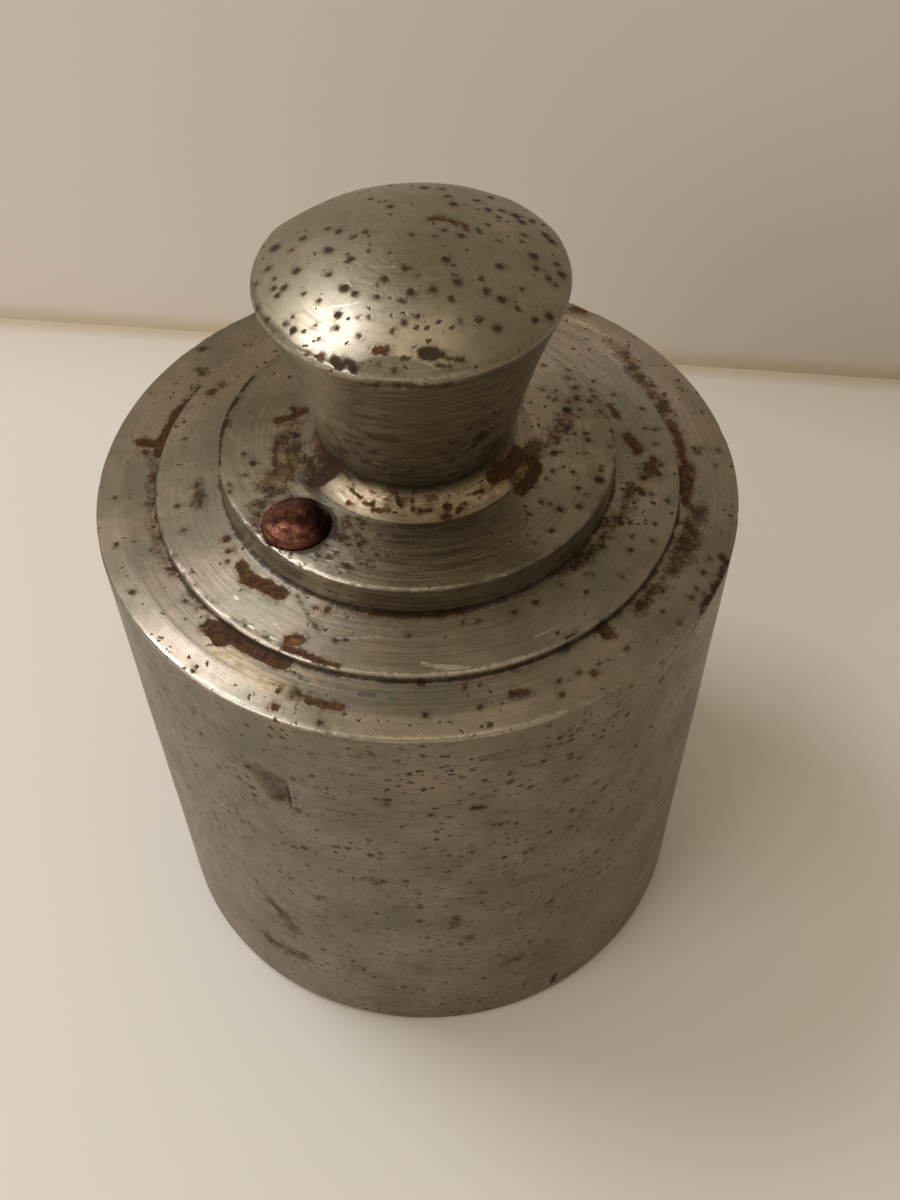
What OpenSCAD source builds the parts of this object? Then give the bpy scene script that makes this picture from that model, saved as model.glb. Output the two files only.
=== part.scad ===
// A one kilogram scale weight, turned from steel: a cylinder with a stepped top and a knob
// that is screwed in over an adjusting cavity, locked and sealed by a copper pin.
// Millimetres. The origin is the middle of the base and +Z is up. The pin is on the near left.

/* [Body] */
// Diameter of the steel cylinder
body_d = 54; // [50:0.5:66]
// Height of the cylinder's side, from the base to the rim
body_h = 52; // [44:0.5:70]
// Chamfer round the foot
foot_chamfer = 0.6; // [0.2:0.1:1.5]
// Width of the ring that the weight stands on
foot_ring_w = 5.5; // [3:0.5:10]
// Depth of the hollow turned inside that ring
base_hollow = 0.4; // [0.2:0.1:1]
// Width of the shallow bevel inside the rim
rim_bevel_w = 2.1; // [1:0.1:2.6]
// Rise of that bevel from the rim inwards
rim_bevel_rise = 0.3; // [0.1:0.05:0.8]
// Flat that breaks each sharp edge on the top
edge_break = 0.25; // [0.1:0.05:0.25]

/* [Raised step] */
// Diameter of the step turned on the body's top
step_d = 44; // [40:0.5:45]
// Height of the step's wall
step_h = 0.65; // [0.4:0.05:2]
// Rise of the step's face from its edge to the knob's seat
step_rise = 0.4; // [0.1:0.05:1]

/* [Knob] */
// Diameter of the flange
flange_d = 32.8; // [31:0.2:38]
// Height of the flange's wall above its seat
flange_h = 2.85; // [2:0.05:5]
// Height of the widest part above the flange
knob_rise = 16.1; // [13:0.1:20]
// Diameter at the widest part
knob_d = 23.5; // [20:0.1:27]
// Height of the domed crown above the widest part
crown_h = 3.6; // [2.4:0.1:5]
// Radius of the rounded edge between the crown and the taper
knob_edge_r = 0.8; // [0.4:0.1:1.4]
// Diameter at which the taper would meet the flange
neck_d = 15.3; // [13:0.1:16.5]
// Radius of the inward bow of the taper
taper_r = 75; // [50:1:150]
// Diameter of the collar's foot on the flange
collar_d = 19.3; // [18.4:0.1:20.6]
// Slope of the collar's face
collar_slope = 40; // [30:1:50]
// Radius that blends the collar into the taper
neck_fillet_r = 1.6; // [0.8:0.1:2]

/* [Spigot and cavity] */
// Major diameter of the spigot's thread
spigot_d = 14; // [13:0.5:16]
// Length of the spigot below the flange
spigot_l = 12; // [8:0.5:16]
// Chamfer on the spigot's end and at the mouth of its bore
spigot_chamfer = 1; // [0.5:0.1:1.5]
// Width of the groove that clears the thread under the flange
undercut_w = 1.8; // [1:0.1:3]
// Depth of that groove
undercut_depth = 1; // [0.5:0.1:1.5]
// Clearance of the thread, on the radius
thread_gap = 0.1; // [0.05:0.05:0.2]
// Bore left below the spigot's end for the thread to run out
thread_runout = 2; // [1:0.5:4]
// Diameter of the cavity drilled below the thread
cavity_d = 12; // [9:0.5:13]
// Depth of the cavity's straight wall below the thread
cavity_h = 14; // [12:0.5:20]
// Angle of the drill's point
drill_angle = 118; // [90:1:140]

/* [Copper sealing pin] */
// Distance of the pin's middle from the flange's wall
pin_inset = 3.05; // [3.05:0.05:4]
// Direction of the pin, in degrees from +X
pin_direction = -136; // [-180:1:180]
// Diameter of the pin's shank
pin_d = 4.6; // [3.5:0.1:5]
// Diameter of its countersunk head
pin_head_d = 5.5; // [5.1:0.1:5.5]
// Height of the dressed dome above the flange
pin_dome_h = 0.9; // [0.3:0.1:1.5]
// Length of shank below the flange's seat
pin_reach = 6; // [4:0.5:10]
// Space left at the bottom of the pin's hole
pin_end_gap = 0.2; // [0.1:0.05:0.3]

/* [Lead shot] */
// Diameter of one ball
shot_d = 3.6; // [2.5:0.1:4.5]
// Layers of balls in the cavity
shot_layers = 4; // [1:1:4]
// Space between neighbouring balls
shot_gap = 0.05; // [0.02:0.01:0.1]

/* [Hidden] */
$fn = 128;
// how far a cut runs past the face that it opens
past = 1;

// heights up the body
ring_z = body_h + rim_bevel_rise;
step_edge_z = ring_z + step_h;
seat_z = step_edge_z + step_rise;
bore_end_z = seat_z - spigot_l - thread_runout;
cavity_floor_z = bore_end_z - cavity_h;

// heights up the knob
flange_z = seat_z + flange_h;
widest_z = flange_z + knob_rise;
crown_z = widest_z + crown_h;

// the knob's outline: arcs that run into each other without a kink, as [radius, height] points
edge_c = [knob_d / 2 - knob_edge_r, widest_z];
crown_r = (edge_c.x ^ 2 + crown_h ^ 2 - knob_edge_r ^ 2) / (2 * (crown_h - knob_edge_r));
crown_c = [0, crown_z - crown_r];
crown_end = toward(crown_c, edge_c, crown_r);
taper_c = circles_meet([neck_d / 2, flange_z], taper_r, edge_c, taper_r + knob_edge_r);
taper_top = toward(taper_c, edge_c, taper_r);
collar_foot = [collar_d / 2, flange_z];
collar_up = [-cos(collar_slope), sin(collar_slope)];
collar_out = [sin(collar_slope), cos(collar_slope)];
fillet_c = line_meets_circle(
    collar_foot + neck_fillet_r * collar_out, collar_up, taper_c, taper_r - neck_fillet_r);
collar_top = fillet_c - neck_fillet_r * collar_out;
fillet_top = toward(taper_c, fillet_c, taper_r);

// the pin and its hole
pin_x = flange_d / 2 - pin_inset;
pin_sink = (pin_head_d - pin_d) / 2;
pin_end_z = seat_z - pin_reach;
pin_dome_r = (pow(pin_head_d / 2, 2) + pow(pin_dome_h, 2)) / (2 * pin_dome_h);

// the point at distance r from a, on the line from a through b
function toward(a, b, r) = a + (b - a) * r / norm(b - a);

// where two circles meet, on the side that is farther from the axis
function circles_meet(a, ra, b, rb) =
    let(
        d = norm(b - a),
        along = (d * d + ra * ra - rb * rb) / (2 * d),
        u = (b - a) / d
    )
    a + along * u + sqrt(ra * ra - along * along) * [u.y, -u.x];

// where a line from p, in the direction u, first meets a circle from the inside
function line_meets_circle(p, u, c, r) =
    let(
        b = (p - c) * u,
        q = (p - c) * (p - c) - r * r
    )
    p + (-b + sqrt(b * b - q)) * u;

// depth of a drilled point of diameter d
function point_depth(d) = d / 2 / tan(drill_angle / 2);

// a straight drilled hole with the drill's point below its floor
module drilled(d, floor_z, top_z) {
    tip = point_depth(d);
    translate([0, 0, floor_z]) cylinder(d = d, h = top_z - floor_z);
    translate([0, 0, floor_z - tip]) cylinder(d1 = 0, d2 = d, h = tip);
}

module at_pin() {
    rotate([0, 0, pin_direction]) translate([pin_x, 0, 0]) children();
}

// the turned outline of the body, from the axis at the base round to the axis at the seat
module body_outline() {
    r = body_d / 2;
    polygon([
        [0, base_hollow],
        [r - foot_ring_w - base_hollow, base_hollow],
        [r - foot_ring_w, 0],
        [r - foot_chamfer, 0],
        [r, foot_chamfer],
        [r, body_h - edge_break],
        [r - edge_break, body_h],
        [r - rim_bevel_w, ring_z],
        [step_d / 2, ring_z],
        [step_d / 2, step_edge_z - edge_break],
        [step_d / 2 - edge_break, step_edge_z],
        [flange_d / 2, seat_z],
        [0, seat_z]
    ]);
}

module body() {
    bore_r = spigot_d / 2 + thread_gap;
    color("#9d9688")
    difference() {
        rotate_extrude() body_outline();
        drilled(cavity_d, cavity_floor_z, bore_end_z + past);
        translate([0, 0, bore_end_z]) cylinder(r = bore_r, h = seat_z - bore_end_z + past);
        translate([0, 0, seat_z - spigot_chamfer])
            cylinder(r1 = bore_r, r2 = bore_r + spigot_chamfer + past, h = spigot_chamfer + past);
        at_pin() drilled(pin_d, pin_end_z, seat_z + past);
    }
}

// the crown and its rounded edge
module crown_outline() {
    intersection() {
        translate(crown_c) circle(crown_r);
        polygon([
            [0, widest_z],
            edge_c,
            crown_end + (crown_end - crown_c) / crown_r * past,
            [crown_end.x, crown_z + past],
            [0, crown_z + past]
        ]);
    }
    translate(edge_c) circle(knob_edge_r);
}

// the taper under the widest part, bowed towards the axis
module taper_outline() {
    difference() {
        polygon([[0, fillet_top.y], fillet_top, taper_c, taper_top, edge_c, [0, widest_z]]);
        translate(taper_c) circle(taper_r, $fn = 720);
    }
}

// the collar's slope and the fillet that carries it into the taper
module collar_outline() {
    difference() {
        polygon([[0, flange_z], collar_foot, collar_top, fillet_c, fillet_top, [0, fillet_top.y]]);
        translate(fillet_c) circle(neck_fillet_r);
    }
}

// the flange and the spigot with its thread groove
module flange_outline() {
    spigot_r = spigot_d / 2;
    spigot_end = seat_z - spigot_l;
    polygon([
        [0, spigot_end],
        [spigot_r - spigot_chamfer, spigot_end],
        [spigot_r, spigot_end + spigot_chamfer],
        [spigot_r, seat_z - undercut_w],
        [spigot_r - undercut_depth, seat_z - undercut_w + undercut_depth],
        [spigot_r - undercut_depth, seat_z],
        [flange_d / 2 - edge_break, seat_z],
        [flange_d / 2, seat_z + edge_break],
        [flange_d / 2, flange_z - edge_break],
        [flange_d / 2 - edge_break, flange_z],
        [0, flange_z]
    ]);
}

module knob() {
    color("#a69f90")
    difference() {
        rotate_extrude() {
            crown_outline();
            taper_outline();
            collar_outline();
            flange_outline();
        }
        at_pin() {
            translate([0, 0, seat_z - past]) cylinder(d = pin_d, h = flange_h + past * 2);
            translate([0, 0, flange_z - pin_sink])
                cylinder(d1 = pin_d, d2 = pin_head_d + 2 * past, h = pin_sink + past);
        }
    }
}

// the pin: shank, countersunk head and the dome dressed on it, turned as one outline
module sealing_pin() {
    shank_end = pin_end_z + pin_end_gap;
    color("#6b3426")
    at_pin() rotate_extrude() {
        polygon([
            [0, shank_end],
            [pin_d / 2, shank_end],
            [pin_d / 2, flange_z - pin_sink],
            [pin_head_d / 2, flange_z],
            [0, flange_z]
        ]);
        intersection() {
            translate([0, flange_z + pin_dome_h - pin_dome_r]) circle(pin_dome_r);
            translate([0, flange_z]) square([pin_head_d, pin_dome_h + past]);
        }
    }
}

// one ball of a layer, at distance r from the axis, resting on the drill's cone or on the layers below
module ball(r, layer, layer_h) {
    tip_z = cavity_floor_z - point_depth(cavity_d);
    rest = (shot_d / 2 + shot_gap) / sin(drill_angle / 2);
    translate([r, 0, tip_z + point_depth(2 * r) + rest + layer * layer_h]) sphere(d = shot_d);
}

// lead balls as they settle: rings that lie in each other's gaps, round a column on the axis
module adjusting_shot() {
    pitch = shot_d + shot_gap;
    wall_r = (cavity_d - shot_d) / 2 - shot_gap;
    rings = max(1, floor(wall_r / pitch));
    color("#77797c")
    for (layer = [0 : shot_layers - 1]) {
        if (wall_r >= pitch) ball(0, layer, pitch);
        for (i = [0 : rings - 1]) {
            ring_r = wall_r - i * pitch;
            count = floor(180 / asin(pitch / 2 / ring_r));
            across = 2 * ring_r * sin(90 / count);
            for (k = [0 : count - 1])
                rotate([0, 0, (k + layer / 2) * 360 / count])
                    ball(ring_r, layer, sqrt(pitch * pitch - across * across));
        }
    }
}

body();
knob();
sealing_pin();
adjusting_shot();
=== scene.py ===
# A one kilogram scale weight of turned steel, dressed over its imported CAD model, which is the fixed frame.
import math

import bmesh
import bpy
import numpy as np
from mathutils import Matrix, Vector, noise


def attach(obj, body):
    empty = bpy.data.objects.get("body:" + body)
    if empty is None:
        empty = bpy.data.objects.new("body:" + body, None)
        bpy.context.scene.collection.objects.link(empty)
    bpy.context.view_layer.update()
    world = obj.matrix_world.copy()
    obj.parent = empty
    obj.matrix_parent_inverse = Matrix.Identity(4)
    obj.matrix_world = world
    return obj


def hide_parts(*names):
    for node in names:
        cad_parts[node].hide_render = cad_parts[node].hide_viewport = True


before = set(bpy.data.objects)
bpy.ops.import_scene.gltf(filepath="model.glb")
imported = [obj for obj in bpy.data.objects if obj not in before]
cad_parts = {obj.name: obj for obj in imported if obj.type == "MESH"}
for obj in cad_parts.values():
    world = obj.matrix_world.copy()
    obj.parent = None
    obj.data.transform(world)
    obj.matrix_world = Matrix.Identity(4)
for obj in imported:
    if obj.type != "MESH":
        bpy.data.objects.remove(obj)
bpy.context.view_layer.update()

# The body is one cylinder turned from steel bar: a bevelled rim, a raised step for the knob's seat, a
# hollow foot, and a bore for the knob's thread with the lead's cavity below it. The steel was never
# plated. Damp and hands have left brown film, dark pits, and rust where the step and flange hold water.
MM = 0.001
BODY_R = 27.0
RIM_Z = 52.0
BEVEL_R = 24.9
RING_Z = 52.3
STEP_R = 22.0
STEP_EDGE_Z = 52.95
SEAT_Z = 53.35
FLANGE_R = 16.4
BORE_R = 7.1
BORE_END_Z = 39.35
CAVITY_R = 6.0
CAVITY_Z = 25.35
DRILL_TIP = 1 / math.tan(math.radians(59))
HOLLOW_R = 21.1
HOLLOW_Z = 0.4
FOOT_BREAK = 0.6
SECTORS = 24


def turned(name, corners, facets):
    """Turns an outline round the axis. A corner is its radius and height, how much it is rounded off, and
    the distance between the rings of points from there to the next corner, all in millimetres. A distance
    of 9 leaves a short stretch whole."""
    shape = bmesh.new()
    line = []
    for n, (radius, height, rounding, row) in enumerate(corners):
        here = Vector((radius, height))
        if rounding:
            back = (Vector(corners[n - 1][:2]) - here).normalized()
            ahead = (Vector(corners[n + 1][:2]) - here).normalized()
            half = back.angle(ahead) / 2
            middle = here + (back + ahead).normalized() * rounding / math.sin(half)
            start = here + back * rounding / math.tan(half) - middle
            turn = math.copysign(math.pi - 2 * half, back.cross(ahead))
            for k in range(5):
                spot = middle + Matrix.Rotation(-turn * k / 4, 2) @ start
                line.append((spot.x, spot.y, row if k == 4 else 9))
        else:
            line.append((radius, height, row))
    fine = [line[0][:2]]
    for (r, z, row), (r2, z2, _) in zip(line, line[1:]):
        steps = max(1, round(math.hypot(r2 - r, z2 - z) / row))
        fine += [(r + (r2 - r) * k / steps, z + (z2 - z) * k / steps) for k in range(1, steps + 1)]
    points = [shape.verts.new((r * MM, 0, z * MM)) for r, z in fine]
    for pair in zip(points, points[1:]):
        shape.edges.new(pair)
    # one sector first, which is then copied round, because one long spin is slow
    turn = dict(cent=(0, 0, 0), axis=(0, 0, 1))
    bmesh.ops.spin(
        shape, geom=shape.verts[:] + shape.edges[:], angle=math.tau / SECTORS, steps=facets // SECTORS, **turn)
    bmesh.ops.spin(
        shape, geom=shape.verts[:] + shape.edges[:] + shape.faces[:], angle=math.tau, steps=SECTORS,
        use_duplicate=True, **turn)
    bmesh.ops.remove_doubles(shape, verts=shape.verts[:], dist=1e-7)
    bmesh.ops.recalc_face_normals(shape, faces=shape.faces[:])
    mesh = bpy.data.meshes.new(name)
    shape.to_mesh(mesh)
    shape.free()
    piece = bpy.data.objects.new(name, mesh)
    bpy.context.collection.objects.link(piece)
    return piece


def pin_hole(piece, outline):
    """Drills the sealing pin's hole through a piece, and smooths all of its faces but the sharp corners."""
    drill = turned("drill", outline, 72)
    drill.data.transform(PIN_PLACE)
    cut = piece.modifiers.new("hole", "BOOLEAN")
    cut.object = drill
    cut.solver = "EXACT"
    cut.operation = "DIFFERENCE"
    name = piece.data.name
    piece.data.name = "blank"
    done = bpy.data.meshes.new_from_object(piece.evaluated_get(bpy.context.evaluated_depsgraph_get()))
    piece.modifiers.clear()
    piece.data = done
    done.name = name
    bpy.data.objects.remove(drill)
    done.shade_smooth()
    done.set_sharp_from_angle(angle=math.radians(38))


def round_axis(radius, degrees, height):
    """Places in millimetres from their distance to the axis, their direction and their height."""
    angle = np.radians(degrees)
    return np.stack(np.broadcast_arrays(radius * np.cos(angle), radius * np.sin(angle), height), -1)


def inside(spots, strokes, place, reach=1.2):
    """How far inside the edge of the nearest mark each point lies, in millimetres, and down to -reach
    outside. A stroke is half its width, then the two numbers of each place that it passes through."""
    best = np.full(len(spots), -reach)
    for half, *path in strokes:
        a, b = np.array(path[0::2], float), np.array(path[1::2], float)
        fine = np.linspace(0, len(a) - 1, (len(a) - 1) * 5 + 1)
        steps = np.arange(len(a))
        way = place(np.interp(fine, steps, a), np.interp(fine, steps, b))
        edge = half + reach
        near = np.flatnonzero(((spots > way.min(0) - edge) & (spots < way.max(0) + edge)).all(1))
        if len(near) == 0:
            continue
        here = spots[near]
        gap = np.linalg.norm(here - way[0], axis=1)
        for p, q in zip(way, way[1:]):
            along = q - p
            t = np.clip((here - p) @ along / max(along @ along, 1e-12), 0, 1)
            gap = np.minimum(gap, np.linalg.norm(here - p - t[:, None] * along, axis=1))
        best[near] = np.maximum(best[near], half - gap)
    return best


def read_points(mesh):
    """The mesh's points and their normals, with the points in millimetres."""
    spots, normals = np.empty(len(mesh.vertices) * 3), np.empty(len(mesh.vertices) * 3)
    mesh.vertices.foreach_get("co", spots)
    mesh.vertices.foreach_get("normal", normals)
    return spots.reshape(-1, 3) / MM, normals.reshape(-1, 3)


def write_points(mesh, spots):
    mesh.vertices.foreach_set("co", (spots * MM).ravel())
    mesh.update()


def note(mesh, name, values):
    """Keeps one number for each point, which a material reads by name."""
    mesh.attributes.new(name, "FLOAT", "POINT").data.foreach_set("value", values.astype(np.float32))


def ripple(spots, per_mm, seed):
    """Smooth bumps between -1 and 1, per_mm of them in a millimetre."""
    return np.array([noise.noise(p) for p in (spots * per_mm + seed).tolist()])


def nicks(spots, seed, fine_seed):
    """How deep an edge has been knocked in, by long low dents and by short sharp ones, in millimetres."""
    dents = np.clip(ripple(spots, 0.4, seed) - 0.25, 0, 1) * 0.5
    return (dents + 0.8 * np.clip(ripple(spots, 1.5, fine_seed) - 0.42, 0, 1)) * 0.5


def rubbed_and_lit(way, middle, half):
    """How much of an edge has wear and a painted highlight, from 1 near its middle, where it faces the light,
    to 0 at half degrees to either side.
    """
    return np.minimum(np.clip(1 - np.abs(way - middle) / half, 0, 1) * 3, 1)


def heading(spots):
    """Each point's direction from the axis, in degrees from the right."""
    return np.degrees(np.arctan2(spots[:, 1], spots[:, 0]))


# where a mark lies: on the outer ring and its bevel, on the step, or round the side
def on_ring(r, degrees):
    return round_axis(r, degrees, np.interp(r, [BEVEL_R, 26.8, BODY_R], [RING_Z, RIM_Z, RIM_Z - 0.3]))


def on_step(r, degrees):
    return round_axis(r, degrees, np.interp(r, [FLANGE_R, STEP_R], [SEAT_Z, STEP_EDGE_Z]))


def on_side(z, degrees):
    return round_axis(BODY_R, degrees, z)


PIN_WAY = -136
PIN_OUT = 13.35
PIN_R = 2.3
PIN_HEAD_R = 2.75
PIN_SINK = 0.45
PIN_END_Z = 47.35
PIN_PLACE = (
    Matrix.Rotation(math.radians(PIN_WAY), 4, "Z") @ Matrix.Translation((PIN_OUT * MM, 0, 0)))
body = turned("weight_body", [
    (0, HOLLOW_Z, 0, 3), (HOLLOW_R, HOLLOW_Z, 0, 0.4), (HOLLOW_R + 0.4, 0, 0, 1.6),
    (BODY_R - FOOT_BREAK, 0, 0, 0.3), (BODY_R, FOOT_BREAK, 0.2, 0.9),
    # the side's rings lie closer together where the gouge is
    (BODY_R, 38.5, 0, 0.3), (BODY_R, 44.5, 0, 0.6), (BODY_R, RIM_Z, 0.3, 0.25), (BEVEL_R, RING_Z, 0, 0.24),
    (STEP_R, RING_Z, 0, 0.14), (STEP_R, STEP_EDGE_Z, 0.28, 0.24), (FLANGE_R, SEAT_Z, 0, 3),
    (BORE_R + 1, SEAT_Z, 0, 0.5), (BORE_R, SEAT_Z - 1, 0, 3.5), (BORE_R, BORE_END_Z, 0, 1.2),
    (CAVITY_R, BORE_END_Z, 0, 3.5), (CAVITY_R, CAVITY_Z, 0, 2), (0, CAVITY_Z - CAVITY_R * DRILL_TIP, 0, 9),
], 600)
pin_hole(body, [
    (0, PIN_END_Z - PIN_R * DRILL_TIP, 0, 9), (PIN_R, PIN_END_Z, 0, 9), (PIN_R, SEAT_Z + 5, 0, 9),
    (0, SEAT_Z + 5, 0, 9)])

# rust and dirt, as half the width, then millimetres from the axis and degrees from the right
rust_of_ring = [
    (0.39, 22.4, 156.5, 22.6, 160.2, 22.6, 164.4, 22.7, 167.8, 22.4, 172.5),
    (0.55, 24.2, 169.1, 23.1, 169.1), (0.3, 23.6, 172), (0.2, 22.6, 179), (0.4, 25.9, 139),
    (0.75, 22.8, -135.3, 23.2, -131.9), (0.62, 22.4, -132.6, 22.5, -128, 22.5, -122.9, 22.4, -118.2),
    (0.35, 22.7, 12.7, 22.7, 7.4, 22.6, 2.9, 22.7, -1.6), (0.62, 22.7, -2, 22.6, -6),
    (0.37, 22.5, -7.8, 22.5, -12.1), (0.45, 26.1, 53.7, 26.4, 52), (0.54, 22.2, -51.9, 22.9, -52.5),
    (0.33, 24.2, -74.9, 24.3, -72.1), (0.3, 24.9, -110.5, 24.8, -106.9, 24.8, -104.7),
    (0.2, 22.6, -153.7, 21.9, -152.5), (0.26, 22.5, -166), (0.24, 24.8, -116), (0.3, 26.1, -115),
    (0.36, 22.1, -91), (0.25, 25.1, -60), (0.2, 22.8, -83),
]
rust_of_step = [
    (0.46, 17.8, -143.1, 18.1, -139.5), (0.6, 18.2, -138.1, 17.7, -133.2, 17.6, -128.7),
    (0.24, 21.6, -119, 21.5, -115.1, 21.6, -111.1, 21.7, -107.5), (0.46, 20.8, -119, 20.5, -117.5),
    (0.14, 16.6, -107.5, 16.6, -100.5, 16.6, -90.4, 16.6, -80.1), (0.45, 20.5, 151), (0.25, 20.3, 148),
    (0.38, 17.4, -153), (0.3, 17.8, -149), (0.2, 18.4, -146), (0.25, 17.5, -118), (0.3, 17.2, -115),
    (0.48, 18.2, 7.5, 18.5, 4.6, 18.7, 2.4), (0.3, 18.1, 20.3, 18.1, 15.3), (0.36, 19.8, -1),
    (0.42, 19.8, -5), (0.35, 19, -8), (0.3, 18.5, -12), (0.3, 17.6, -35), (0.28, 17.8, -61),
]
film_of_step = [
    (0.3, 22.35, 150, 22.3, 165, 22.4, 180, 22.4, 195, 22.3, 210), (0.35, 17.3, -22, 17.2, -35, 17, -48),
    (0.56, 18, -12, 17.8, -18.7, 17.5, -23.6, 17, -29), (0.4, 18.4, -175, 18.4, -168), (0.9, 19.6, -4),
    (0.35, 22.1, -144.5, 22, -134.3, 21.9, -118.7), (0.6, 24.2, 40, 23, 28.7, 23, 15.9),
    (0.5, 23.5, 145), (0.8, 23.6, -14, 23.4, -22, 23.2, -30), (0.4, 23.9, -15), (0.5, 24.2, 3),
    (0.5, 24.4, -117, 24.9, -111), (0.5, 23, -36, 22.8, -44),
]
cream_of_ring = [
    (0.75, 23.7, -133, 24, -126.5, 24.3, -121.7, 24.4, -116), (0.3, 23.1, -123.9, 22.9, -121.2),
    (0.38, 22.9, -116.8, 23.1, -110.8), (0.35, 24.4, 56, 24.6, 48, 24.2, 38),
]
blue_of_ring = [
    (0.14, 23.1, -122.3, 22.9, -121.6), (0.13, 23, -119.4, 23, -115, 23.2, -111.8),
    (0.22, 23.3, -101.7, 23.3, -99.6), (0.14, 23.5, -96.5, 23.5, -95.5),
]
pits_of_ring = [
    (0.2, 25.4, -176), (0.2, 25.6, -164), (0.28, 25.8, -152), (0.2, 22.8, -144), (0.2, 26.5, -131),
    (0.2, 26.3, -107), (0.2, 24.9, -90), (0.24, 24.3, -74), (0.23, 22.1, -61), (0.2, 26.1, -41),
    (0.21, 25.5, -29), (0.2, 25.5, -25), (0.2, 23, -34), (0.2, 25.6, -33), (0.2, 25.7, -35),
    (0.2, 23, -19), (0.28, 23, -25), (0.2, 25.9, 3), (0.2, 25.3, -1), (0.2, 25.6, -67),
    (0.2, 24.4, -66), (0.2, 24.7, -81), (0.2, 24.4, -62), (0.2, 24.8, -52), (0.25, 22.8, -43),
    (0.22, 24.5, -41),
    # the rim is crushed here
    (0.3, 26.3, -23.9, 26.6, -24.2), (0.34, 26.7, -24.5), (0.2, 26.6, -26, 26.7, -28),
    (0.26, 26.8, -29.5, 26.8, -31.5), (0.2, 26.5, -30.5), (0.3, 26.85, -33, 26.8, -34.5), (0.22, 26.6, -35.5),
    (0.2, 26.4, -33.2), (0.24, 26.9, -36.5),
]
pits_of_step = [
    (0.2, 20.2, -161), (0.2, 20.1, -169), (0.2, 18.5, -175), (0.2, 18.4, -168), (0.2, 19.5, -110),
    (0.2, 18.8, -13), (0.2, 18.2, -45), (0.2, 18.4, -44), (0.2, 17.9, -67), (0.2, 17.5, -80),
    (0.2, 17.6, -76), (0.2, 20.5, -22), (0.2, 19.7, -13), (0.2, 20, 10), (0.2, 20.8, 9),
    (0.2, 20.6, -3), (0.2, 20.4, 4), (0.2, 18.6, -24), (0.2, 19.2, -28), (0.2, 19.7, -32),
    (0.2, 20.8, -27), (0.2, 17.5, -52), (0.2, 20.4, -40), (0.2, 19.3, -49), (0.2, 20.3, -6),
    (0.05, 17, -124.3, 19.2, -113.9), (0.13, 21.7, -60, 21.7, -58), (0.2, 18.35, -93.5),
    (0.12, 19.5, -110, 19.3, -107), (0.2, 19.1, 24), (0.2, 18.6, 31), (0.2, 20.7, 17), (0.2, 21, -14),
]
pits_of_side = [
    (0.26, 30.8, -74), (0.2, 38.5, -78), (0.22, 35.1, -83), (0.22, 44.6, -77), (0.24, 41.9, -83, 41.7, -81),
    (0.2, 41.4, -115.1, 39.6, -114.8), (0.26, 18.4, -123.9, 17.3, -121.7),
    (0.24, 8.8, -128, 8.5, -124.2, 9, -119),
    (0.26, 41.4, -90), (0.24, 37, -61), (0.22, 45.1, -66), (0.2, 40.9, -51), (0.18, 48.5, -109),
    (0.18, 49.5, -101), (0.3, 1.9, -64, 3.2, -63), (0.2, 46.8, -70), (0.18, 47.5, -93), (0.2, 43, -97),
    (0.2, 50.8, -40.8, 51.4, -37.8), (0.26, 51.6, -35.3, 51.6, -31.5), (0.22, 51.8, -28.5, 51.8, -24),
]
smudges_of_side = [
    (0.5, 18.4, -83), (0.35, 25.4, -97), (0.4, 30, -102, 29.8, -100), (0.45, 24.3, -112),
    (0.5, 23, -86, 21.4, -86), (0.5, 20.8, -67), (0.35, 26.9, -139, 26.6, -135),
    (0.85, 18.5, -124.1, 17.3, -121.5, 14.8, -120), (0.9, 8.9, -128.8, 8.4, -124.2, 9.2, -118),
    (0.4, 12, -76, 11.5, -72), (0.4, 34.5, -99), (0.35, 33, -71),
]
# bright scratches, and painted glints on the step's front
bright_of_body = [
    (0.09, 19.4, -110.2, 18.46, -99.3), (0.14, 20.8, -90.5, 21.5, -81.2), (0.1, 21.2, -88, 21.6, -83),
    (0.1, 20.48, -66, 20.43, -59.7), (0.1, 20.1, -124.6, 20.2, -122.6), (0.08, 18.2, -116.5, 18.3, -113.5),
    (0.1, 21.2, -123, 21.2, -121.5), (0.14, 20, -136.5, 20, -135.5), (0.1, 20, -133),
    (0.13, 21.3, -128.6, 21.3, -127.4), (0.1, 20.3, -112),
]

spots, normals = read_points(body.data)
radius = np.hypot(spots[:, 0], spots[:, 1])
height = spots[:, 2]
way = heading(spots)
outer = (radius > FLANGE_R - 0.3) & (height > -0.1)
rust = np.maximum(inside(spots, rust_of_ring, on_ring), inside(spots, rust_of_step, on_step))
pits = np.maximum(inside(spots, pits_of_ring, on_ring, 0.9), inside(spots, pits_of_step, on_step, 0.9))
pits = np.maximum(pits, inside(spots, pits_of_side, on_side))
# handling has left the surface slightly uneven, and has knocked nicks into the rim and the step's edge
sunk = 0.03 * (1 + ripple(spots, 0.13, 3))
edge_gap = np.minimum(
    np.hypot(radius - BODY_R, height - RIM_Z), np.hypot(radius - STEP_R, height - STEP_EDGE_Z))
sunk += np.clip(1 - edge_gap / 0.5, 0, 1) * nicks(spots, 11, 5)
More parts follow.
